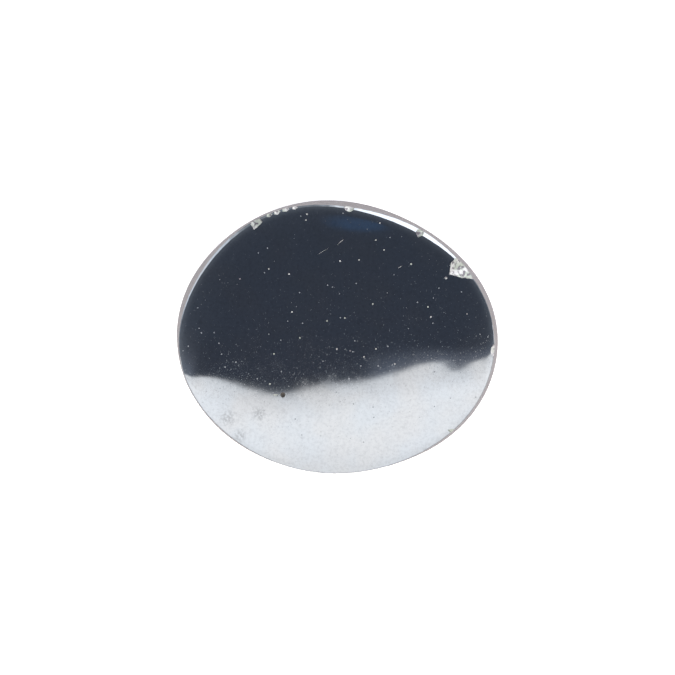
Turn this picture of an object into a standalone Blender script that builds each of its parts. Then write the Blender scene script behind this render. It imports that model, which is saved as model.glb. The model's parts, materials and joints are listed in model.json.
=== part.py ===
# Oval cut stone of hematite, 12 by 10.1 mm and 3 mm thick, lying on its ground back.
# Metres, +Z up. X runs along the stone's long axis and Y along its short one.
# The origin is on the surface that the stone rests on, under the middle of the stone.
import math

import bmesh
import bpy
from mathutils import Vector

MM = 0.001

# Driving sizes of the whole stone, in millimetres
LENGTH = 12.0                  # across the widest line, along X
WIDTH = 10.1                   # across the widest line, along Y
THICKNESS = 3.0                # from the base to the top of the crown

# The base and the wall, in millimetres
GIRDLE_HEIGHT = 0.42           # the widest line, above the base
BASE_BEVEL = 0.38              # how far the lower edge is ground in
WALL_BULGE = 0.018             # the wall swells this much half way up
WALL_BANDS = 3

# The polished face and its narrow edge facet, in millimetres
FACE_LENGTH = 11.6
FACE_WIDTH = 9.8
CROWN_RISE = 0.30              # the face bows up this much from edge to middle
FACET_WIDTH = 0.055            # the edge facet, where it is narrowest
FACET_EXTRA = 0.10             # what it gains on its wide stretch
FACET_WIDE_AT = 64.0           # degrees round from +X
FACET_WIDE_SPREAD = 20.0       # degrees
FACET_SLOPE = 38.0             # degrees below level

# Hand-ground unevenness of the two outlines. Each wave has its count in a full turn,
# and its cosine and sine parts in millimetres.
GIRDLE_WAVES = ((3, 0.045, -0.035), (4, 0.005, 0.010), (5, -0.015, 0.015))
FACE_WAVES = ((3, 0.060, -0.015), (4, 0.015, 0.045), (5, -0.020, -0.015))

# How fine the solid is
POINTS_ROUND = 96              # a multiple of four
FACE_RINGS = (0.975, 0.92, 0.84, 0.74)
SHARP_FROM = 15.0              # degrees between facets that meet in an edge

# Places where the edge has broken away. Each has the line where the break starts on the face,
# the outer points of the broken block, past the wall, and the break's own floor.
# Outline points are x, y. Floor points are x, y and depth below the face. All in millimetres.
CHIPS = {
    "large_chip": {
        "outline": ((4.19, 3.45), (4.02, 3.22), (3.98, 2.80), (4.45, 2.70), (4.93, 2.69)),
        "outside": ((5.75, 3.10), (4.95, 4.25)),
        "floor": (
            (4.04, 2.86, 0.08), (4.22, 3.34, 0.12), (4.86, 2.76, 0.12),
            (4.70, 3.30, 0.50), (5.50, 3.90, 0.85),
        ),
    },
    "upper_chip": {
        "outline": ((2.66, 4.44), (2.63, 4.27), (2.71, 4.06), (2.86, 4.13), (2.98, 4.20)),
        "outside": ((3.25, 4.60), (2.85, 4.90)),
        "floor": ((2.73, 4.11, 0.06), (2.68, 4.30, 0.08), (2.92, 4.21, 0.08), (3.05, 4.75, 0.34)),
    },
    "top_notch": {
        "outline": ((-0.12, 4.95), (0.00, 4.83), (0.16, 4.80), (0.28, 4.90), (0.33, 4.98)),
        "outside": ((0.38, 5.30), (-0.16, 5.30)),
        "floor": ((0.03, 4.86, 0.07), (0.15, 4.84, 0.07), (0.10, 5.20, 0.30)),
    },
    "left_chip": {
        "outline": ((-3.50, 4.06), (-3.35, 3.86), (-3.20, 4.00), (-3.06, 4.17)),
        "outside": ((-3.20, 4.62), (-3.80, 4.40)),
        "floor": ((-3.34, 3.91, 0.06), (-3.42, 4.02, 0.09), (-3.16, 4.08, 0.09), (-3.52, 4.52, 0.30)),
    },
    "right_chip": {
        "outline": ((5.84, 0.36), (5.76, 0.22), (5.76, 0.08), (5.83, -0.13)),
        "outside": ((6.25, -0.20), (6.25, 0.48)),
        "floor": ((5.79, 0.20, 0.08), (5.79, 0.08, 0.10), (6.20, 0.15, 0.36)),
    },
    "lower_nick": {
        "outline": ((4.72, -2.91), (4.40, -2.95), (4.55, -3.12)),
        "outside": ((4.75, -3.35), (5.00, -3.00)),
        "floor": ((4.46, -2.98, 0.05), (4.66, -2.96, 0.06), (4.57, -3.06, 0.06), (4.95, -3.25, 0.26)),
    },
}

# Small nicks along the upper left edge: degrees round from +X, length along the edge,
# reach into the face and depth, in millimetres
NICKS = (
    (118.4, 0.22, 0.05, 0.22),
    (115.3, 0.24, 0.06, 0.26),
    (112.0, 0.26, 0.05, 0.30),
    (108.6, 0.22, 0.04, 0.20),
)
NICK_OVERHANG = 0.40           # how far their cutting blocks reach past the edge

# A small pit in the face: its place, its radius across and its depth, in millimetres
PIT_PLACE = (-1.79, -2.16)
PIT_RADIUS = 0.10
PIT_DEPTH = 0.09
PIT_SIDES = 7

# The step where a break begins, and how far the cutting blocks stand over the face, in millimetres
CHIP_LIP = 0.02
CUTTER_CLEARANCE = 0.25


def edge_point(turn, length, width, waves):
    """Return x and y, in millimetres, on an oval that wavers a little."""
    x = length / 2 * math.cos(turn)
    y = width / 2 * math.sin(turn)
    wave = sum(c * math.cos(n * turn) + s * math.sin(n * turn) for n, c, s in waves)
    grow = 1 + wave / math.hypot(x, y)
    return x * grow, y * grow


def move_in(x, y, distance):
    """Move a point towards the middle by a distance, in millimetres."""
    keep = 1 - distance / math.hypot(x, y)
    return x * keep, y * keep


def face_height(x, y):
    """Return the height of the polished face over the base, in millimetres."""
    reach = (2 * x / FACE_LENGTH) ** 2 + (2 * y / FACE_WIDTH) ** 2
    return THICKNESS - CROWN_RISE * reach


def facet_width(turn):
    """Return the width of the edge facet at an angle, in millimetres."""
    away = math.degrees(turn) - FACET_WIDE_AT
    away = (away + 180) % 360 - 180
    return FACET_WIDTH + FACET_EXTRA * math.exp(-(away / FACET_WIDE_SPREAD) ** 2)


def base_line(turn):
    x, y = edge_point(turn, LENGTH, WIDTH, GIRDLE_WAVES)
    x, y = move_in(x, y, BASE_BEVEL)
    return x, y, 0.0


def girdle_line(turn):
    x, y = edge_point(turn, LENGTH, WIDTH, GIRDLE_WAVES)
    return x, y, GIRDLE_HEIGHT


def face_line(turn):
    x, y = edge_point(turn, FACE_LENGTH, FACE_WIDTH, FACE_WAVES)
    return x, y, face_height(x, y)


def facet_line(turn):
    """The outer edge of the narrow facet, where the wall begins."""
    x, y, z = face_line(turn)
    width = facet_width(turn)
    x, y = move_in(x, y, -width)
    return x, y, z - width * math.tan(math.radians(FACET_SLOPE))


def wall_line(part):
    """Return the wall's line at a part of its height, from 0 at the girdle to 1 at the facet."""
    def line(turn):
        low = Vector(girdle_line(turn))
        high = Vector(facet_line(turn))
        x, y, z = low.lerp(high, part)
        x, y = move_in(x, y, -WALL_BULGE * math.sin(math.pi * part))
        return x, y, z
    return line


def face_ring(part):
    """Return the line on the face at a part of the way out from its middle."""
    def line(turn):
        x, y, _ = face_line(turn)
        x, y = x * part, y * part
        return x, y, face_height(x, y)
    return line


def build_stone():
    """Raise the wall, the facet and the face ring by ring from the base."""
    lines = [base_line, girdle_line]
    lines += [wall_line(k / WALL_BANDS) for k in range(1, WALL_BANDS)]
    lines += [facet_line, face_line]
    lines += [face_ring(part) for part in FACE_RINGS]

    shape = bmesh.new()
    ring = bmesh.ops.create_circle(shape, cap_ends=False, radius=1.0, segments=POINTS_ROUND)["verts"]
    turns = [2 * math.pi * k / POINTS_ROUND for k in range(POINTS_ROUND)]
    ring.sort(key=lambda point: math.atan2(point.co.y, point.co.x) % (2 * math.pi))
    for point, turn in zip(ring, turns):
        point.co = Vector(lines[0](turn)) * MM
    loop = list(shape.edges)
    bmesh.ops.contextual_create(shape, geom=loop)

    for line in lines[1:]:
        raised = bmesh.ops.extrude_edge_only(shape, edges=loop)["geom"]
        new_points = [item for item in raised if isinstance(item, bmesh.types.BMVert)]
        loop = [item for item in raised if isinstance(item, bmesh.types.BMEdge)]
        loop = [edge for edge in loop if all(point in new_points for point in edge.verts)]
        ring = [next(edge.other_vert(old) for edge in old.link_edges
                     if edge.other_vert(old) in new_points) for old in ring]
        for point, turn in zip(ring, turns):
            point.co = Vector(line(turn)) * MM

    # The middle of the face is a grid between two opposite quarters of the last ring.
    quarter = POINTS_ROUND // 4
    corner = quarter // 2
    place = {point: k for k, point in enumerate(ring)}

    def in_quarter(edge, start):
        return all((place[point] - start) % POINTS_ROUND <= quarter for point in edge.verts)

    first = [edge for edge in loop if in_quarter(edge, -corner)]
    second = [edge for edge in loop if in_quarter(edge, 2 * quarter - corner)]
    grid = bmesh.ops.grid_fill(shape, edges=first + second)["faces"]
    inner = {point for face in grid for point in face.verts} - set(ring)
    for point in inner:
        point.co.z = face_height(point.co.x / MM, point.co.y / MM) * MM
    bmesh.ops.recalc_face_normals(shape, faces=shape.faces)
    return shape


def add_block(shape, top_points, floor_points):
    """Add one closed block whose corners are given, in millimetres."""
    corners = [shape.verts.new(Vector(point) * MM) for point in (*top_points, *floor_points)]
    hull = bmesh.ops.convex_hull(shape, input=corners)
    unused = [item for item in hull["geom_interior"] if isinstance(item, bmesh.types.BMVert)]
    bmesh.ops.delete(shape, geom=unused, context="VERTS")


def add_chip(shape, chip):
    """Add the block that one broken place takes away."""
    over = THICKNESS + CUTTER_CLEARANCE
    top = [(x, y, over) for x, y in (*chip["outline"], *chip["outside"])]
    start = [(x, y, face_height(x, y) - CHIP_LIP) for x, y in chip["outline"]]
    floor = [(x, y, face_height(x, y) - depth) for x, y, depth in chip["floor"]]
    add_block(shape, top, start + floor)


def add_nick(shape, degrees, length, reach, depth):
    """Add the block that one small edge nick takes away."""
    turn = math.radians(degrees)
    x, y, _ = face_line(turn)
    out = Vector((x, y)).normalized()
    along = Vector((-out.y, out.x)) * length / 2
    edge = Vector((x, y))
    past = edge + out * NICK_OVERHANG
    tip = edge - out * reach
    middle = edge + out * reach
    add_chip(shape, {
        "outline": (edge + along, tip, edge - along),
        "outside": (past - along, past + along),
        "floor": ((middle.x, middle.y, depth / 2), (past.x, past.y, depth)),
    })


def add_pit(shape):
    """Add the cone that the pit takes away."""
    x, y = PIT_PLACE
    rim = []
    for k in range(PIT_SIDES):
        turn = 2 * math.pi * k / PIT_SIDES
        px = x + PIT_RADIUS * math.cos(turn)
        py = y + PIT_RADIUS * math.sin(turn)
        rim.append((px, py))
    top = [(px, py, THICKNESS + CUTTER_CLEARANCE) for px, py in rim]
    edge = [(px, py, face_height(px, py) - CHIP_LIP) for px, py in rim]
    add_block(shape, top, edge + [(x, y, face_height(x, y) - PIT_DEPTH)])


def hematite():
    """Polished hematite: a dark steel-grey mirror with a blue cast."""
    material = bpy.data.materials.new("polished_hematite")
    material.use_nodes = True
    shader = material.node_tree.nodes["Principled BSDF"]
    shader.inputs["Base Color"].default_value = (0.20, 0.22, 0.26, 1.0)
    shader.inputs["Metallic"].default_value = 1.0
    shader.inputs["Roughness"].default_value = 0.12
    return material


def add_object(name, shape):
    mesh = bpy.data.meshes.new(name)
    shape.to_mesh(mesh)
    shape.free()
    item = bpy.data.objects.new(name, mesh)
    bpy.context.scene.collection.objects.link(item)
    return item


def main():
    for item in list(bpy.data.objects):
        bpy.data.objects.remove(item)

    stone = add_object("hematite_stone", build_stone())
    stone.data.materials.append(hematite())
    stone.data.shade_smooth()
    stone.data.set_sharp_from_angle(angle=math.radians(SHARP_FROM))

    blocks = bmesh.new()
    for chip in CHIPS.values():
        add_chip(blocks, chip)
    for nick in NICKS:
        add_nick(blocks, *nick)
    add_pit(blocks)
    bmesh.ops.recalc_face_normals(blocks, faces=blocks.faces)
    cutter = add_object("broken_places", blocks)
    cutter.hide_render = True
    cutter.display_type = "WIRE"

    cut = stone.modifiers.new("chips", "BOOLEAN")
    cut.operation = "DIFFERENCE"
    cut.solver = "EXACT"
    cut.object = cutter


main()
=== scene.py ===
import json
import math

import bmesh
import bpy
from mathutils import Matrix, Vector, noise

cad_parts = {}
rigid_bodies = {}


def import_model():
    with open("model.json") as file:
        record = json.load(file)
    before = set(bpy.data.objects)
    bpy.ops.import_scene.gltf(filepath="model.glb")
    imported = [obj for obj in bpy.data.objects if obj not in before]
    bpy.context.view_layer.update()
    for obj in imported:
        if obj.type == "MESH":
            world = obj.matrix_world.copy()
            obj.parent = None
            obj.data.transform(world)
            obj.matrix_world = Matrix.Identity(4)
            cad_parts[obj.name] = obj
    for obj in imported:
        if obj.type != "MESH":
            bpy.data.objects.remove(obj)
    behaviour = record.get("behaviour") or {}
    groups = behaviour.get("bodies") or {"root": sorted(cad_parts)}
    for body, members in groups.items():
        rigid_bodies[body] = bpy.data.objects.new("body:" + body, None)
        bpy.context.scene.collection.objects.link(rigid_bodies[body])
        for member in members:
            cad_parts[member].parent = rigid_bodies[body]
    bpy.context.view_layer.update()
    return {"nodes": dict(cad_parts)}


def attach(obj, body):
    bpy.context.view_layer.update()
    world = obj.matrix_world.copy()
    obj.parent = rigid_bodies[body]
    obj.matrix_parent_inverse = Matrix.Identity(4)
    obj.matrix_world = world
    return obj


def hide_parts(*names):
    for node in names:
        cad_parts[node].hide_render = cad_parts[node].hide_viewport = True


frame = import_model()
print("frame loaded:", ", ".join(frame["nodes"]))

mm = 0.001
fullTurn = 2 * math.pi

# The oval stone, with the same main sizes as its solid. Sizes are in millimetres.
stone = {
    "length": 12.0,                # across the widest line, along X
    "width": 10.1,                 # across the widest line, along Y
    "thickness": 3.0,
    "girdleHeight": 0.42,          # the widest line, above the back
    "baseBevel": 0.38,
    "wallBulge": 0.018,
    "wallBands": 26,
    "wallFlats": 0.010,            # the wall was ground in short flats, this deep
    "wallGrind": 0.004,            # finer unevenness of the wall
    "grindOnset": 3,               # how fast that sets in from the wall's two edges
    "backPace": 2.5,               # waves of the back's unevenness to the millimetre
    "faceLength": 11.6,
    "faceWidth": 9.8,
    "crownRise": 0.30,
    "facetSlope": 38.0,            # degrees below level
    "facetWidth": 0.022,           # where the edge facet is narrowest
    "facetWider": ((64, 19, 0.125), (126, 40, 0.055)),   # degrees, spread in degrees, extra width
    "rimWear": 0.006,              # unevenness of the facet's two edges
    "rollWidth": 0.30,             # the polish rolls off over this width at the rim,
    "rollDrop": 0.006,             # by this much
    # waves of the two outlines: how many round, and the size of their cosine and sine parts
    "girdleWaves": ((3, 0.045, -0.035), (4, 0.005, 0.010), (5, -0.015, 0.015)),
    "faceWaves": ((3, 0.060, -0.015), (4, 0.015, 0.045), (5, -0.020, -0.015)),
    "pointsRound": 480,            # a multiple of eight
    "faceRings": 16,
    "faceRingStep": 0.0125,        # as a part of the way out
    "edgeRound": 0.035,            # rounding of the two lower edges
    "edgeSteps": 3,
    "sharpFrom": 22.0,             # degrees between faces that meet in an edge
}

# Broad swells that the hand polish left in the face: x, y, spread along X and Y, height.
# They bend the reflection of the bright panel's edge.
swells = (
    (-0.8, -3.7, 2.0, 1.12, 0.027),
    (4.5, 0.1, 1.07, 0.60, 0.0145),
    (-5.2, -1.5, 0.8, 0.91, 0.030),
    (4.8, -1.25, 0.61, 0.60, 0.0170),
    (-1.8, -2.8, 0.5, 0.60, 0.0031),
    (1.4, -2.1, 0.75, 0.70, 0.0044),
)
ripple = {"size": 0.55, "height": 0.00016}     # the finest waviness of the polish

# How the edges and the wall waver round the stone: the pace, where more gives shorter waves,
# and the row of noise that the waves come from. On the wall the row climbs from 0 to this.
waver = {
    "baseLine": (5, 9.0),
    "girdleLine": (6, 5.0),
    "faceLine": (34, 7.0),
    "facetWidth": (26, 3.0),
    "wallFlats": (7, 0.8),
    "wallGrind": (60, 22),
}


def edgePoint(turn, length, width, waves):
    # a point on an oval that wavers a little
    x = length / 2 * math.cos(turn)
    y = width / 2 * math.sin(turn)
    wave = sum(c * math.cos(n * turn) + s * math.sin(n * turn) for n, c, s in waves)
    grow = 1 + wave / math.hypot(x, y)
    return x * grow, y * grow


def moveIn(x, y, distance):
    keep = 1 - distance / math.hypot(x, y)
    return x * keep, y * keep


def around(turn, pace, row=0.0):
    # soft noise that closes on itself round the stone
    return noise.noise(Vector((math.cos(turn) * pace, math.sin(turn) * pace, row)))


def faceHeight(x, y):
    halfLength = stone["faceLength"] / 2
    halfWidth = stone["faceWidth"] / 2
    height = stone["thickness"] - stone["crownRise"] * ((x / halfLength) ** 2 + (y / halfWidth) ** 2)
    for px, py, spreadX, spreadY, rise in swells:
        height += rise * math.exp(-(((x - px) / spreadX) ** 2 + ((y - py) / spreadY) ** 2) / 2)
    height += ripple["height"] * noise.noise(Vector((x, y, 0)) / ripple["size"])

    turn = math.atan2(y / halfWidth, x / halfLength)
    rim = math.hypot(*edgePoint(turn, stone["faceLength"], stone["faceWidth"], stone["faceWaves"]))
    fromRim = max(rim - math.hypot(x, y), 0)
    if fromRim < stone["rollWidth"]:
        height -= stone["rollDrop"] * (1 - fromRim / stone["rollWidth"]) ** 3
    return height


def facetWidth(turn):
    width = stone["facetWidth"]
    for middle, spread, extra in stone["facetWider"]:
        away = (math.degrees(turn) - middle + 180) % 360 - 180
        width += extra * math.exp(-(away / spread) ** 2)
    return width + stone["rimWear"] * around(turn, *waver["facetWidth"])


def baseLine(turn):
    x, y = edgePoint(turn, stone["length"], stone["width"], stone["girdleWaves"])
    inset = stone["baseBevel"] + stone["wallFlats"] * around(turn, *waver["baseLine"])
    return *moveIn(x, y, inset), 0.0


def girdleLine(turn):
    x, y = edgePoint(turn, stone["length"], stone["width"], stone["girdleWaves"])
    return x, y, stone["girdleHeight"] + stone["wallFlats"] * around(turn, *waver["girdleLine"])


def faceLine(turn):
    x, y = edgePoint(turn, stone["faceLength"], stone["faceWidth"], stone["faceWaves"])
    x, y = moveIn(x, y, stone["rimWear"] * around(turn, *waver["faceLine"]))
    return x, y, faceHeight(x, y)


def facetLine(turn):
    x, y, z = faceLine(turn)
    width = facetWidth(turn)
    x, y = moveIn(x, y, -width)
    return x, y, z - width * math.tan(math.radians(stone["facetSlope"]))


def wallLine(part):
    # the wall's line at a part of its height, from 0 at the girdle to 1 at the facet
    def line(turn):
        x, y, z = Vector(girdleLine(turn)).lerp(Vector(facetLine(turn)), part)
        swell = math.sin(math.pi * part)
        out = stone["wallBulge"] * swell
        pace, rows = waver["wallFlats"]
        out += stone["wallFlats"] * swell * around(turn, pace, part * rows)
        pace, rows = waver["wallGrind"]
        out += stone["wallGrind"] * min(1, stone["grindOnset"] * swell) * around(turn, pace, part * rows)
        return *moveIn(x, y, -out), z
    return line


def faceRing(part):
    def line(turn):
        x, y = edgePoint(turn, stone["faceLength"], stone["faceWidth"], stone["faceWaves"])
        return x * part, y * part, faceHeight(x * part, y * part)
    return line


def fillRing(shape, ring, loop):
    # a grid between two opposite quarters of a ring
    count = len(ring)
    place = {point: k for k, point in enumerate(ring)}
    start = -count // 8

    def inQuarter(edge, first):
        return all((place[point] - first) % count <= count // 4 for point in edge.verts)

    edges = [edge for edge in loop if inQuarter(edge, start) or inQuarter(edge, start + count // 2)]
    faces = bmesh.ops.grid_fill(shape, edges=edges, use_smooth=True)["faces"]
    return faces, {point for face in faces for point in face.verts} - set(ring)


def buildBody():
    # the wall, the edge facet and the face, raised ring by ring from the back
    count = stone["pointsRound"]
    turns = [fullTurn * k / count for k in range(count)]
    lines = [(girdleLine, 1)]
    lines += [(wallLine(k / stone["wallBands"]), 1) for k in range(1, stone["wallBands"])]
    lines += [(facetLine, 1), (faceLine, 0)]
    lines += [(faceRing(1 - stone["faceRingStep"] * k), 0) for k in range(1, stone["faceRings"] + 1)]

    shape = bmesh.new()
    ring = bmesh.ops.create_circle(shape, cap_ends=False, radius=1.0, segments=count)["verts"]
    ring.sort(key=lambda point: math.atan2(point.co.y, point.co.x) % fullTurn)
    for point, turn in zip(ring, turns):
        point.co = baseLine(turn)
    loop = list(shape.edges)
    backFaces, inner = fillRing(shape, ring, loop)
    for face in backFaces:
        face.material_index = 1
    for point in inner:
        point.co.z = stone["wallGrind"] * (0.5 + 0.5 * noise.noise(point.co * stone["backPace"]))

    lowerEdges = list(loop)
    for line, slot in lines:
        raised = bmesh.ops.extrude_edge_only(shape, edges=loop)["geom"]
        newPoints = {item for item in raised if isinstance(item, bmesh.types.BMVert)}
        for face in (item for item in raised if isinstance(item, bmesh.types.BMFace)):
            face.material_index = slot
        loop = [item for item in raised if isinstance(item, bmesh.types.BMEdge)]
        loop = [edge for edge in loop if all(point in newPoints for point in edge.verts)]
        ring = [next(edge.other_vert(old) for edge in old.link_edges
                     if edge.other_vert(old) in newPoints) for old in ring]
        for point, turn in zip(ring, turns):
            point.co = line(turn)
        if line is girdleLine:
            lowerEdges += loop

    _, inner = fillRing(shape, ring, loop)
    for point in inner:
        point.co.z = faceHeight(point.co.x, point.co.y)
    bmesh.ops.bevel(shape, geom=lowerEdges, offset=stone["edgeRound"], offset_type="OFFSET",
                    segments=stone["edgeSteps"], profile=0.5, affect="EDGES", material=-1,
                    clamp_overlap=True)
    bmesh.ops.recalc_face_normals(shape, faces=shape.faces)
    for face in shape.faces:
        face.smooth = True
    return shape


# Places where the edge has broken away. Each has the line where the break starts on the face,
# points past the wall, and the break's own floor with its depth below the face, in millimetres.
chips = {
    "largeChip": {
        "outline": ((4.19, 3.45), (4.02, 3.22), (3.98, 2.80), (4.45, 2.70), (4.93, 2.69)),
        "outside": ((5.75, 3.10), (4.95, 4.25)),
        "floor": (
            (4.04, 2.86, 0.08), (4.22, 3.34, 0.12), (4.86, 2.76, 0.12),
            (4.70, 3.30, 0.50), (5.50, 3.90, 0.85),
        ),
    },
    "upperChip": {
        "outline": ((2.66, 4.44), (2.63, 4.27), (2.71, 4.06), (2.86, 4.13), (2.98, 4.20)),
        "outside": ((3.25, 4.60), (2.85, 4.90)),
        "floor": ((2.73, 4.11, 0.06), (2.68, 4.30, 0.08), (2.92, 4.21, 0.08), (3.05, 4.75, 0.34)),
    },
    "topNotch": {
        "outline": ((-0.12, 4.95), (0.00, 4.83), (0.16, 4.80), (0.28, 4.90), (0.33, 4.98)),
        "outside": ((0.38, 5.30), (-0.16, 5.30)),
        "floor": ((0.03, 4.86, 0.07), (0.15, 4.84, 0.07), (0.10, 5.20, 0.30)),
    },
    "leftChip": {
        "outline": ((-3.50, 4.06), (-3.35, 3.86), (-3.20, 4.00), (-3.06, 4.17)),
        "outside": ((-3.20, 4.62), (-3.80, 4.40)),
        "floor": ((-3.34, 3.91, 0.06), (-3.42, 4.02, 0.09), (-3.16, 4.08, 0.09), (-3.52, 4.52, 0.30)),
    },
    "rightChip": {
        "outline": ((5.84, 0.36), (5.76, 0.22), (5.76, 0.08), (5.83, -0.13)),
        "outside": ((6.25, -0.20), (6.25, 0.48)),
        "floor": ((5.79, 0.20, 0.08), (5.79, 0.08, 0.10), (6.20, 0.15, 0.36)),
    },
    "lowerNick": {
        "outline": ((4.72, -2.91), (4.40, -2.95), (4.55, -3.12)),
        "outside": ((4.75, -3.35), (5.00, -3.00)),
        "floor": ((4.46, -2.98, 0.05), (4.66, -2.96, 0.06), (4.57, -3.06, 0.06), (4.95, -3.25, 0.26)),
    },
}

# Small nicks along the upper left edge: degrees round from +X, length, reach and depth
nicks = (
    (118.4, 0.22, 0.05, 0.22),
    (115.3, 0.24, 0.06, 0.26),
    (112.0, 0.26, 0.05, 0.30),
    (108.6, 0.22, 0.04, 0.20),
)

fracture = {
    "lip": 0.02,                   # the step where a break begins
    "clearance": 0.25,             # how far the cutting blocks stand over the face
    "overhang": 0.40,              # how far the nicks' blocks reach past the edge
    "longestEdge": 0.07,           # in a break's floor
    "splits": 7,                   # rounds of splitting the longer ones, at most
    "floorDepth": 0.03,            # points deeper than this are smoothed
    "smoothing": (3, 0.4),         # rounds of it, and how far each goes
    "roughness": (9, 0.020),       # unevenness of the break: waves to the millimetre, and their size
    "grit": (24, 0.005),           # the finer part of it
}


def chipBlock(chip):
    # the block that one broken place takes away, with a rough underside
    block = bmesh.new()
    over = stone["thickness"] + fracture["clearance"]
    for x, y in (*chip["outline"], *chip["outside"]):
        block.verts.new((x, y, over))
    for x, y in chip["outline"]:
        block.verts.new((x, y, faceHeight(x, y) - fracture["lip"]))
    for x, y, depth in chip["floor"]:
        block.verts.new((x, y, faceHeight(x, y) - depth))
    hull = bmesh.ops.convex_hull(block, input=list(block.verts))
    spare = [item for item in hull["geom_interior"] if isinstance(item, bmesh.types.BMVert)]
    bmesh.ops.delete(block, geom=spare, context="VERTS")

    for _ in range(fracture["splits"]):
        longEdges = [edge for edge in block.edges if edge.calc_length() > fracture["longestEdge"]
                     and min(point.co.z for point in edge.verts) < stone["thickness"]]
        if not longEdges:
            break
        bmesh.ops.subdivide_edges(block, edges=longEdges, cuts=1, use_grid_fill=True)
        bmesh.ops.triangulate(block, faces=block.faces)

    depths = {point: faceHeight(point.co.x, point.co.y) - point.co.z for point in block.verts}
    low = [point for point, depth in depths.items() if depth > fracture["floorDepth"]]
    rounds, share = fracture["smoothing"]
    for _ in range(rounds):
        bmesh.ops.smooth_vert(block, verts=low, factor=share,
                              use_axis_x=True, use_axis_y=True, use_axis_z=True)
    # one smooth field bends every block alike, so none crosses itself or a neighbour
    for point in block.verts:
        spot = point.co.copy()
        for pace, size in (fracture["roughness"], fracture["grit"]):
            point.co += noise.noise_vector(spot * pace) * size
    bmesh.ops.recalc_face_normals(block, faces=block.faces)
    return block


def nickChip(degrees, length, reach, depth):
    x, y, _ = faceLine(math.radians(degrees))
    edge = Vector((x, y))
    out = edge.normalized()
    along = Vector((-out.y, out.x)) * length / 2
    past = edge + out * fracture["overhang"]
    middle = edge + out * reach
    return {
        "outline": (edge + along, edge - out * reach, edge - along),
        "outside": (past - along, past + along),
        "floor": ((middle.x, middle.y, depth / 2), (past.x, past.y, depth)),
    }


# The deep pit in the polished face, in millimetres
deepPit = {"place": (-1.79, -2.16), "radius": 0.10, "depth": 0.09, "sides": 7}

# Small pits: x, y and radius, in millimetres
pits = (
    (3.88, 2.65, 0.050), (-2.30, -1.79, 0.034), (-3.72, 2.00, 0.034), (-2.68, 2.46, 0.034),
    (-1.92, 2.33, 0.030), (-0.08, 2.96, 0.032), (0.62, 3.06, 0.032), (1.18, 3.84, 0.030),
    (1.51, 3.50, 0.030), (2.55, 3.06, 0.034), (1.26, 1.48, 0.030), (3.30, 1.53, 0.030),
    (3.44, 1.17, 0.028), (4.76, 1.38, 0.028), (0.27, 0.88, 0.030), (-1.70, 0.94, 0.030),
    (-0.38, 0.72, 0.028), (-1.33, 0.01, 0.030), (0.07, -0.29, 0.028), (0.56, -0.32, 0.028),
    (1.51, -0.17, 0.030), (1.09, -0.50, 0.028), (2.25, -0.67, 0.026), (-2.24, -0.66, 0.030),
    (-1.44, 4.59, 0.034), (-1.46, 4.37, 0.030), (1.28, 4.48, 0.026),
)
pitShape = {
    "smallDepth": 0.6,             # depth of a small pit, as a part of its radius
    "smallSides": 7,
    "waver": 0.25,                 # how far the rim wavers, as a part of the radius
    "row": 2,                      # of the noise that it wavers by
    "wallFoot": 0.15,              # where the upright wall ends, as a part of the depth
}

# Scratches in the polished face: two ends, width and depth, in millimetres
scratches = (
    ((0.00, 3.79), (-0.25, 3.53), 0.022, 0.012),
    ((-0.53, 3.41), (-0.95, 3.12), 0.012, 0.006),
    ((2.22, 2.97), (2.08, 2.87), 0.026, 0.014),
    ((-1.94, -2.17), (-2.18, -2.19), 0.060, 0.020),
)
scratchSide = 0.1                  # depth along a scratch's sides, as a part of its depth


def pitBlock(x, y, radius, depth, sides, turned=0.0):
    block = bmesh.new()
    over = stone["thickness"] + fracture["clearance"]
    for k in range(sides):
        turn = turned + fullTurn * k / sides
        spot = Vector((x + math.cos(turn), y + math.sin(turn), pitShape["row"]))
        reach = radius * (1 + pitShape["waver"] * noise.noise(spot))
        px = x + reach * math.cos(turn)
        py = y + reach * math.sin(turn)
        block.verts.new((px, py, over))
        block.verts.new((px, py, faceHeight(px, py) - depth * pitShape["wallFoot"]))
    block.verts.new((x, y, faceHeight(x, y) - depth))
    bmesh.ops.convex_hull(block, input=list(block.verts))
    bmesh.ops.recalc_face_normals(block, faces=block.faces)
    return block


def scratchBlock(start, end, width, depth):
    block = bmesh.new()
    start = Vector(start)
    end = Vector(end)
    side = Vector((start.y - end.y, end.x - start.x)).normalized() * width / 2
    third = (end - start) / 3
    over = stone["thickness"] + fracture["clearance"]
    for spot in (start, start + third + side, start + third - side, end - third + side,
                 end - third - side, end):
        block.verts.new((spot.x, spot.y, over))
        block.verts.new((spot.x, spot.y, faceHeight(spot.x, spot.y) - depth * scratchSide))
    for spot in (start + third, end - third):
        block.verts.new((spot.x, spot.y, faceHeight(spot.x, spot.y) - depth))
    bmesh.ops.convex_hull(block, input=list(block.verts))
    bmesh.ops.recalc_face_normals(block, faces=block.faces)
    return block


def addNode(tree, kind, values=None, **settings):
    node = tree.nodes.new(kind)
    for name, value in settings.items():
        setattr(node, name, value)
    for key, value in (values or {}).items():
        if isinstance(value, bpy.types.NodeSocket):
            tree.links.new(value, node.inputs[key])
        else:
            node.inputs[key].default_value = value
    return node


def maths(tree, operation, first, second=0.0, clamp=False):
    return addNode(tree, "ShaderNodeMath", {0: first, 1: second}, operation=operation,
                   use_clamp=clamp).outputs[0]


def ease(tree, value, start, end, low=0.0, high=1.0):
    # a soft step from low to high as the value goes from start to end
    return addNode(tree, "ShaderNodeMapRange", {0: value, 1: start, 2: end, 3: low, 4: high},
                   interpolation_type="SMOOTHSTEP").outputs[0]


def mixColour(tree, factor, first, second, blend="MIX"):
    node = addNode(tree, "ShaderNodeMix", {0: factor, 6: first, 7: second},
                   data_type="RGBA", blend_type=blend)
    return node.outputs[2]


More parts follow.
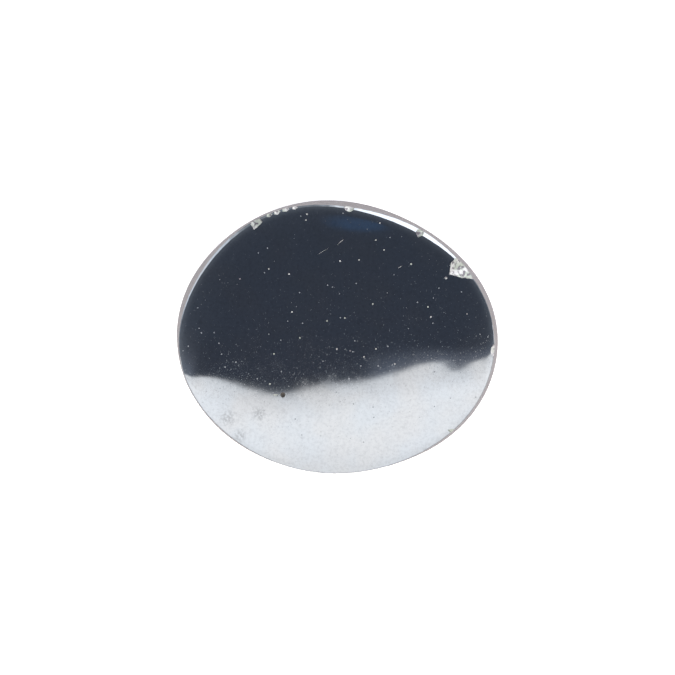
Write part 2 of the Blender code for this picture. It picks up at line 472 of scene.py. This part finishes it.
def grey(level):
    return (level, level, level, 1.0)


def inMillimetres(tree, stretch=(1, 1, 1), turn=(0, 0, 0)):
    # object coordinates in millimetres, stretched for a pattern that runs one way
    place = addNode(tree, "ShaderNodeTexCoord").outputs["Object"]
    scale = Vector(stretch) / mm
    turned = [math.radians(angle) for angle in turn]
    return addNode(tree, "ShaderNodeMapping", {0: place, 2: turned, 3: scale}).outputs[0]


def cloud(tree, place, size, detail=2.0, roughness=0.5):
    # soft noise from 0 to 1, with clouds of a size in millimetres
    values = {"Vector": place, "Scale": 1 / size, "Detail": detail, "Roughness": roughness}
    return addNode(tree, "ShaderNodeTexNoise", values).outputs[0]


speckCore = 0.4                    # the part of a speck's radius that is at full strength


def specks(tree, place, spacing, radius):
    # 1 inside small scattered grains, 0 outside
    near = addNode(tree, "ShaderNodeTexVoronoi", {"Vector": place, "Scale": 1 / spacing})
    return ease(tree, near.outputs["Distance"], radius / spacing, speckCore * radius / spacing)


def newMaterial(name, finish):
    material = bpy.data.materials.new(name)
    material.use_nodes = True
    shader = material.node_tree.nodes["Principled BSDF"]
    shader.inputs["Metallic"].default_value = finish["metallic"]
    shader.inputs["Base Color"].default_value = (*finish["colour"], 1.0)
    shader.inputs["Roughness"].default_value = finish["roughness"]
    return material, material.node_tree, shader


# Sizes in the finishes are in millimetres. A range gives the value of the noise where a pattern starts
# and where it is full, and then what the pattern gives at each, unless that is 0 and 1.
polish = {
    "colour": (0.240, 0.262, 0.290),
    "coolColour": (0.236, 0.262, 0.295),
    "warmColour": (0.244, 0.262, 0.286),
    "dimColour": (0.142, 0.155, 0.172),    # in the mottling, the lines and the smudges
    "metallic": 1.0,
    "roughness": 0.045,
    "patches": {"size": 1.6},              # of the cool and the warm colour
    "patchRange": (0.35, 0.65),
    "lines": {"size": 1.0, "detail": 3.0},
    "lineStretch": (9, 0.9, 1),
    "lineRange": (0.35, 0.70, 0.0, 0.06),
    "mottle": {"size": 0.11, "detail": 4.0, "roughness": 0.7},
    "mottleRange": (0.40, 0.75, 0.0, 0.34),
    "smears": {"size": 0.45, "detail": 4.0, "roughness": 0.65},
    "smearRange": (0.60, 0.74, 0.0, 0.30),
    "smudges": ((-2.62, -2.93, 0.34), (-3.75, -3.18, 0.42), (-3.26, -3.81, 0.34)),   # x, y, radius
    "smudgeCore": 0.2,                     # the part of its radius that is full
    "smudgeRange": (0.35, 0.60),
    "smudgeDim": 0.75,
    "haze": {"size": 0.7, "detail": 4.0},
    "hazeRange": (0.45, 0.75, 0.0, 0.030),     # how much duller the cloudy places are
    "specks": ((0.40, 0.034, 1.0), (0.15, 0.024, 0.38), (0.085, 0.016, 0.26)),   # spacing, radius, strength
    "speckDull": 0.55,                     # how much duller the specks are
}


def polishedMaterial():
    # polished hematite: a dark steel mirror with fine specks, haze and polishing lines
    material, tree, shader = newMaterial("hematite_polished", polish)
    place = inMillimetres(tree)
    patches = ease(tree, cloud(tree, place, **polish["patches"]), *polish["patchRange"])
    colour = mixColour(tree, patches, (*polish["coolColour"], 1), (*polish["warmColour"], 1))
    dim = (*polish["dimColour"], 1)

    lines = cloud(tree, inMillimetres(tree, stretch=polish["lineStretch"]), **polish["lines"])
    colour = mixColour(tree, ease(tree, lines, *polish["lineRange"]), colour, dim)
    mottle = cloud(tree, place, **polish["mottle"])
    colour = mixColour(tree, ease(tree, mottle, *polish["mottleRange"]), colour, dim)
    smears = ease(tree, cloud(tree, place, **polish["smears"]), *polish["smearRange"])
    colour = mixColour(tree, smears, colour, dim)
    for x, y, radius in polish["smudges"]:
        middle = (x, y, faceHeight(x, y))
        away = addNode(tree, "ShaderNodeVectorMath", {0: place, 1: middle}, operation="DISTANCE")
        inside = ease(tree, away.outputs["Value"], radius, polish["smudgeCore"] * radius)
        smudge = maths(tree, "MULTIPLY", inside, ease(tree, mottle, *polish["smudgeRange"]))
        colour = mixColour(tree, maths(tree, "MULTIPLY", smudge, polish["smudgeDim"]), colour, dim)

    haze = ease(tree, cloud(tree, place, **polish["haze"]), *polish["hazeRange"])
    grains = 0.0
    for spacing, radius, strength in polish["specks"]:
        found = maths(tree, "MULTIPLY", specks(tree, place, spacing, radius), strength)
        grains = maths(tree, "MAXIMUM", grains, found)
    dull = maths(tree, "ADD", maths(tree, "MULTIPLY", grains, polish["speckDull"]), haze)
    dull = maths(tree, "ADD", dull, polish["roughness"])

    tree.links.new(colour, shader.inputs["Base Color"])
    tree.links.new(dull, shader.inputs["Roughness"])
    return material


ground = {
    "colour": (0.098, 0.088, 0.098),
    "paleColour": (0.165, 0.150, 0.163),
    "rustColour": (0.120, 0.088, 0.082),
    "metallic": 0.45,
    "roughness": 0.55,
    "roughRange": (0.3, 0.7, 0.48, 0.68),
    "lines": {"size": 1.0, "detail": 3.0},
    "lineStretch": (1.2, 1.2, 40),
    "across": {"size": 1.0, "detail": 2.0},    # broader marks that break up the lines
    "acrossStretch": (2, 2, 3),
    "acrossTurn": (0, 0, 24),              # degrees
    "lineRange": (0.42, 0.62, 0.0, 0.75),
    "lineDepth": 0.014,
    "grain": {"size": 0.10, "detail": 5.0, "roughness": 0.65},
    "grainRange": (0.35, 0.70),
    "grainDepth": 0.010,
    "stain": {"size": 1.3, "detail": 3.0},
    "stainRange": (0.52, 0.72, 0.0, 0.40),
}


def groundMaterial():
    # the ground wall and back: dull purple-grey with grinding lines
    material, tree, shader = newMaterial("hematite_ground", ground)
    place = inMillimetres(tree)
    lines = cloud(tree, inMillimetres(tree, stretch=ground["lineStretch"]), **ground["lines"])
    across = inMillimetres(tree, stretch=ground["acrossStretch"], turn=ground["acrossTurn"])
    across = cloud(tree, across, **ground["across"])
    lines = maths(tree, "MULTIPLY", maths(tree, "ADD", lines, across), 0.5)
    grain = cloud(tree, place, **ground["grain"])

    pale = (*ground["paleColour"], 1)
    colour = mixColour(tree, ease(tree, grain, *ground["grainRange"]), (*ground["colour"], 1), pale)
    colour = mixColour(tree, ease(tree, lines, *ground["lineRange"]), colour, pale)
    stain = ease(tree, cloud(tree, place, **ground["stain"]), *ground["stainRange"])
    colour = mixColour(tree, stain, colour, (*ground["rustColour"], 1))
    tree.links.new(colour, shader.inputs["Base Color"])
    tree.links.new(ease(tree, grain, *ground["roughRange"]), shader.inputs["Roughness"])

    scored = addNode(tree, "ShaderNodeBump", {"Height": lines, "Distance": ground["lineDepth"] * mm})
    pitted = addNode(tree, "ShaderNodeBump",
                     {"Height": grain, "Distance": ground["grainDepth"] * mm, "Normal": scored.outputs[0]})
    tree.links.new(pitted.outputs[0], shader.inputs["Normal"])
    return material


broken = {
    "colour": (0.46, 0.46, 0.47),
    "greenColour": (0.33, 0.36, 0.33),
    "darkColour": (0.13, 0.12, 0.14),
    "metallic": 0.55,
    "roughness": 0.36,
    "roughRange": (0.3, 0.7, 0.28, 0.50),
    "grain": {"size": 0.07, "detail": 5.0, "roughness": 0.7},
    "grainDepth": 0.016,
    "tint": {"size": 0.35},                # of the green
    "tintRange": (0.4, 0.6),
    "seams": {"size": 0.13, "detail": 4.0},
    "seamRange": (0.50, 0.62),
}


def brokenMaterial():
    # fresh breaks: pale and grainy, with darker seams
    material, tree, shader = newMaterial("hematite_broken", broken)
    place = inMillimetres(tree)
    grain = cloud(tree, place, **broken["grain"])
    tint = ease(tree, cloud(tree, place, **broken["tint"]), *broken["tintRange"])
    colour = mixColour(tree, tint, (*broken["colour"], 1), (*broken["greenColour"], 1))
    seams = ease(tree, cloud(tree, place, **broken["seams"]), *broken["seamRange"])
    colour = mixColour(tree, seams, colour, (*broken["darkColour"], 1))
    tree.links.new(colour, shader.inputs["Base Color"])
    tree.links.new(ease(tree, grain, *broken["roughRange"]), shader.inputs["Roughness"])
    bump = addNode(tree, "ShaderNodeBump", {"Height": grain, "Distance": broken["grainDepth"] * mm})
    tree.links.new(bump.outputs[0], shader.inputs["Normal"])
    return material


# painted shade: the deep pit's inside is coloured near black to stand in for the shade in the hollow
pitShade = {
    "colour": (0.050, 0.045, 0.045),
    "darkColour": (0.03, 0.028, 0.03),
    "dustColour": (0.12, 0.11, 0.10),
    "metallic": 0.2,
    "roughness": 0.7,
    "grain": {"size": 0.04, "detail": 4.0},
}


def pitShadeMaterial():
    # the inside of the deep pit: painted shade, a near-black colour with paler grains
    material, tree, shader = newMaterial("hematite_pit_painted_shade", pitShade)
    grain = cloud(tree, inMillimetres(tree), **pitShade["grain"])
    colour = mixColour(tree, grain, (*pitShade["darkColour"], 1), (*pitShade["dustColour"], 1))
    tree.links.new(colour, shader.inputs["Base Color"])
    return material


def newObject(name, shape, materials):
    mesh = bpy.data.meshes.new(name)
    shape.to_mesh(mesh)
    shape.free()
    for material in materials:
        mesh.materials.append(material)
    item = bpy.data.objects.new(name, mesh)
    bpy.context.scene.collection.objects.link(item)
    return item


def joinBlocks(blocks, slots):
    # several closed blocks as one mesh, each with its own material slot
    joined = bmesh.new()
    for block, slot in zip(blocks, slots):
        for face in block.faces:
            face.material_index = slot
        spare = bpy.data.meshes.new("block")
        block.to_mesh(spare)
        block.free()
        joined.from_mesh(spare)
        bpy.data.meshes.remove(spare)
    return joined


def buildStone():
    polished = polishedMaterial()
    grounded = groundMaterial()
    fresh = brokenMaterial()
    shadedPit = pitShadeMaterial()

    shape = buildBody()
    body = newObject("hematite", shape, [polished, grounded])
    print("body:", len(body.data.polygons), "faces")

    blocks = [chipBlock(chip) for chip in chips.values()]
    blocks += [chipBlock(nickChip(*nick)) for nick in nicks]
    blocks += [pitBlock(x, y, radius, radius * pitShape["smallDepth"], pitShape["smallSides"], turned=x)
               for x, y, radius in pits]
    blocks += [scratchBlock(*scratch) for scratch in scratches]
    slots = [0] * len(blocks)
    # the deep pit gets the material with painted shade
    blocks.append(pitBlock(*deepPit["place"], deepPit["radius"], deepPit["depth"], deepPit["sides"]))
    slots.append(1)
    shape = joinBlocks(blocks, slots)
    cutter = newObject("broken_places", shape, [fresh, shadedPit])
    print("breaks and pits:", len(blocks))

    cut = body.modifiers.new("breaks", "BOOLEAN")
    cut.operation = "DIFFERENCE"
    cut.solver = "EXACT"
    cut.material_mode = "TRANSFER"
    cut.object = cutter
    graph = bpy.context.evaluated_depsgraph_get()
    finished = bpy.data.meshes.new_from_object(body.evaluated_get(graph), depsgraph=graph)
    body.modifiers.clear()
    finished.transform(Matrix.Scale(mm, 4))        # cut in millimetres, where the cuts come out clean
    body.data = finished
    bpy.data.objects.remove(cutter)
    finished.shade_smooth()
    finished.set_sharp_from_angle(angle=math.radians(stone["sharpFrom"]))
    print("stone:", len(finished.polygons), "faces,", [item.name for item in finished.materials])
    return body


hematite = buildStone()
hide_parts("hematite_stone")
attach(hematite, "root")


floorPlan = {
    "size": 1.2,                   # metres
    "below": 0.00001,              # metres under the stone's back
    "colour": (0.88, 0.88, 0.88),
    "metallic": 0.0,
    "roughness": 0.8,
    "glow": 0.55,
}


def buildFloor():
    shape = bmesh.new()
    bmesh.ops.create_grid(shape, x_segments=1, y_segments=1, size=floorPlan["size"])
    bmesh.ops.translate(shape, vec=(0, 0, -floorPlan["below"]), verts=shape.verts)
    material, _, shader = newMaterial("pale_floor", floorPlan)
    shader.inputs["Emission Color"].default_value = grey(1.0)
    shader.inputs["Emission Strength"].default_value = floorPlan["glow"]
    return newObject("floor", shape, [material])


buildFloor()
print("floor laid")


# The light all round, as brightness by direction. A slope is a direction's X or Y over its Z.
# Past is how far a direction lies beyond the panel's edge, as a slope.
light = {
    "leastRise": 0.01,                     # lower directions are taken as this high
    "opening": (0.123, 0.141, 0.182),      # the dark opening overhead
    "openingEnd": (0.16, 0.55),            # slopes between which it gives way to the room
    "openingGlow": (0.34, 0.37, 0.45),     # the opening near the panel's edge, on the right
    "glowPast": (0.075, 0.0),              # how far past the edge that starts and is full
    "glowSlopeX": (0.0, 0.07),             # and where along the edge
    "leftGlowPast": (0.16, 0.0),           # the same at the far left
    "leftGlowSlopeX": (-0.185, -0.25),
    "room": (0.62, 0.65, 0.70),
    "panel": (3.26, 3.11, 2.95),           # the bright panel on the front side
    "panelEdge": (-0.122, 0.22),           # its edge: slope Y here, and how that rises with slope X
    "panelSoft": (0.004, 0.006, 0.003),    # how soft the edge is on the left, in the middle, on the right
    "softSlopeX": ((-0.10, -0.02), (0.07, 0.13)),  # where one softness gives way to the next
    "panelFades": (                        # two places past the edge, and the brightness added at each
        (0.0, -0.07, 0.80, 1.0),
        (-0.13, -0.25, 0.0, -0.12),
        (-0.3, -1.0, 0.0, -0.22),
    ),
    "windowPlace": (0.007, 0.186),         # a small blue window in the opening
    "windowSize": (0.050, 0.016),
    "windowBorder": (1.3, 0.2),            # where it starts and is full, in squares of its size
    "window": (0.010, 0.070, 0.170),
    "low": (1.2, 1.2, 1.2),                # close to the floor
    "lowStart": (0.35, 0.05),              # heights between which it takes over
    "lampCore": 0.3,                       # the part of a lamp's spread that is at full brightness
}

# Soft lamps low down round the stone: degrees round from +X, degrees up, spread in degrees, brightness
lamps = (
    (66, 14, 30, 4.0),
    (154, 14, 24, 1.6),
)


def buildLight():
    world = bpy.data.worlds.new("studio")
    bpy.context.scene.world = world
    world.use_nodes = True
    tree = world.node_tree
    tree.nodes.clear()
    way = addNode(tree, "ShaderNodeTexCoord").outputs["Generated"]
    split = addNode(tree, "ShaderNodeSeparateXYZ", {0: way})
    up = maths(tree, "MAXIMUM", split.outputs[2], light["leastRise"])
    slopeX = maths(tree, "DIVIDE", split.outputs[0], up)
    slopeY = maths(tree, "DIVIDE", split.outputs[1], up)
    reach = maths(tree, "SQRT", maths(tree, "ADD", maths(tree, "MULTIPLY", slopeX, slopeX),
                                      maths(tree, "MULTIPLY", slopeY, slopeY)))

    # how far a direction is past the panel's edge, over the dark opening
    edgeAt, edgeRise = light["panelEdge"]
    edge = maths(tree, "ADD", maths(tree, "MULTIPLY", slopeX, edgeRise), edgeAt)
    past = maths(tree, "SUBTRACT", slopeY, edge)
    left, middle, right = light["panelSoft"]
    leftStep, rightStep = light["softSlopeX"]
    soft = ease(tree, slopeX, *leftStep, left, middle)
    soft = maths(tree, "ADD", soft, ease(tree, slopeX, *rightStep, 0.0, right - middle))
    panel = ease(tree, maths(tree, "DIVIDE", past, soft), 1.0, -1.0)

    # the opening, a little brighter by the panel's edge on the right and at the far left
    glow = maths(tree, "MULTIPLY", ease(tree, past, *light["glowPast"]),
                 ease(tree, slopeX, *light["glowSlopeX"]))
    glow = maths(tree, "MULTIPLY", glow, glow)
    farLeft = maths(tree, "MULTIPLY", ease(tree, past, *light["leftGlowPast"]),
                    ease(tree, slopeX, *light["leftGlowSlopeX"]))
    glow = maths(tree, "ADD", glow, farLeft, clamp=True)
    opening = mixColour(tree, glow, (*light["opening"], 1), (*light["openingGlow"], 1))
    spotX, spotY = light["windowPlace"]
    sizeX, sizeY = light["windowSize"]
    offX = maths(tree, "DIVIDE", maths(tree, "SUBTRACT", slopeX, spotX), sizeX)
    offY = maths(tree, "DIVIDE", maths(tree, "SUBTRACT", slopeY, spotY), sizeY)
    off = maths(tree, "ADD", maths(tree, "MULTIPLY", offX, offX), maths(tree, "MULTIPLY", offY, offY))
    window = mixColour(tree, ease(tree, off, *light["windowBorder"]), grey(0.0), (*light["window"], 1))
    opening = mixColour(tree, 1.0, opening, window, blend="ADD")

    back = mixColour(tree, ease(tree, reach, *light["openingEnd"]), opening, (*light["room"], 1))

    # the panel is dimmest by its edge and fades towards the room's sides
    strength = 0.0
    for fade in light["panelFades"]:
        strength = maths(tree, "ADD", strength, ease(tree, past, *fade))
    shade = addNode(tree, "ShaderNodeCombineXYZ", {0: strength, 1: strength, 2: strength}).outputs[0]
    front = mixColour(tree, 1.0, (*light["panel"], 1), shade, blend="MULTIPLY")
    sky = mixColour(tree, panel, back, front)
    sky = mixColour(tree, ease(tree, split.outputs[2], *light["lowStart"]), sky, (*light["low"], 1))

    for turn, rise, spread, brightness in lamps:
        turn = math.radians(turn)
        rise = math.radians(rise)
        toward = (math.cos(turn) * math.cos(rise), math.sin(turn) * math.cos(rise), math.sin(rise))
        near = addNode(tree, "ShaderNodeVectorMath", {0: way, 1: toward}, operation="DOT_PRODUCT")
        core = math.cos(math.radians(spread * light["lampCore"]))
        amount = ease(tree, near.outputs["Value"], math.cos(math.radians(spread)), core)
        sky = mixColour(tree, amount, sky, grey(brightness), blend="ADD")

    background = addNode(tree, "ShaderNodeBackground", {0: sky})
    output = addNode(tree, "ShaderNodeOutputWorld")
    tree.links.new(background.outputs[0], output.inputs[0])


buildLight()
bpy.context.scene.view_settings.view_transform = "Standard"
print("light set")


# The camera looks down on the face from the photograph's side
view = {
    "aim": (0.0, 0.0, 0.45),       # millimetres
    "distance": 250.0,
    "fromVertical": 3.0,           # degrees
    "towards": 80.6,               # degrees round from +X
    "upAt": 94.6,                  # where the picture's top points, degrees round from +X
    "pixelsPerMm": 26.75,
    "pictureSize": 675,
    "aimPixel": (336.6, 337.6),
    "sensor": 36.0,
    "clip": (0.01, 10.0),          # metres
}


def buildCamera():
    lean = math.radians(view["fromVertical"])
    turn = math.radians(view["towards"])
    back = Vector((math.sin(lean) * math.cos(turn), math.sin(lean) * math.sin(turn), math.cos(lean)))
    upTurn = math.radians(view["upAt"])
    right = Vector((math.cos(upTurn), math.sin(upTurn), 0)).cross(back).normalized()
    up = back.cross(right)
    middle = view["pictureSize"] / 2
    aim = Vector(view["aim"])
    aim += right * (middle - view["aimPixel"][0]) / view["pixelsPerMm"]
    aim += up * (view["aimPixel"][1] - middle) / view["pixelsPerMm"]
    eye = aim + back * view["distance"]

    data = bpy.data.cameras.new("camera")
    data.sensor_width = view["sensor"]
    data.lens = view["sensor"] * view["distance"] * view["pixelsPerMm"] / view["pictureSize"]
    data.clip_start, data.clip_end = view["clip"]
    camera = bpy.data.objects.new("camera", data)
    bpy.context.scene.collection.objects.link(camera)
    camera.matrix_world = Matrix.Translation(eye * mm) @ Matrix((right, up, back)).transposed().to_4x4()
    bpy.context.scene.camera = camera


buildCamera()
print("camera placed")
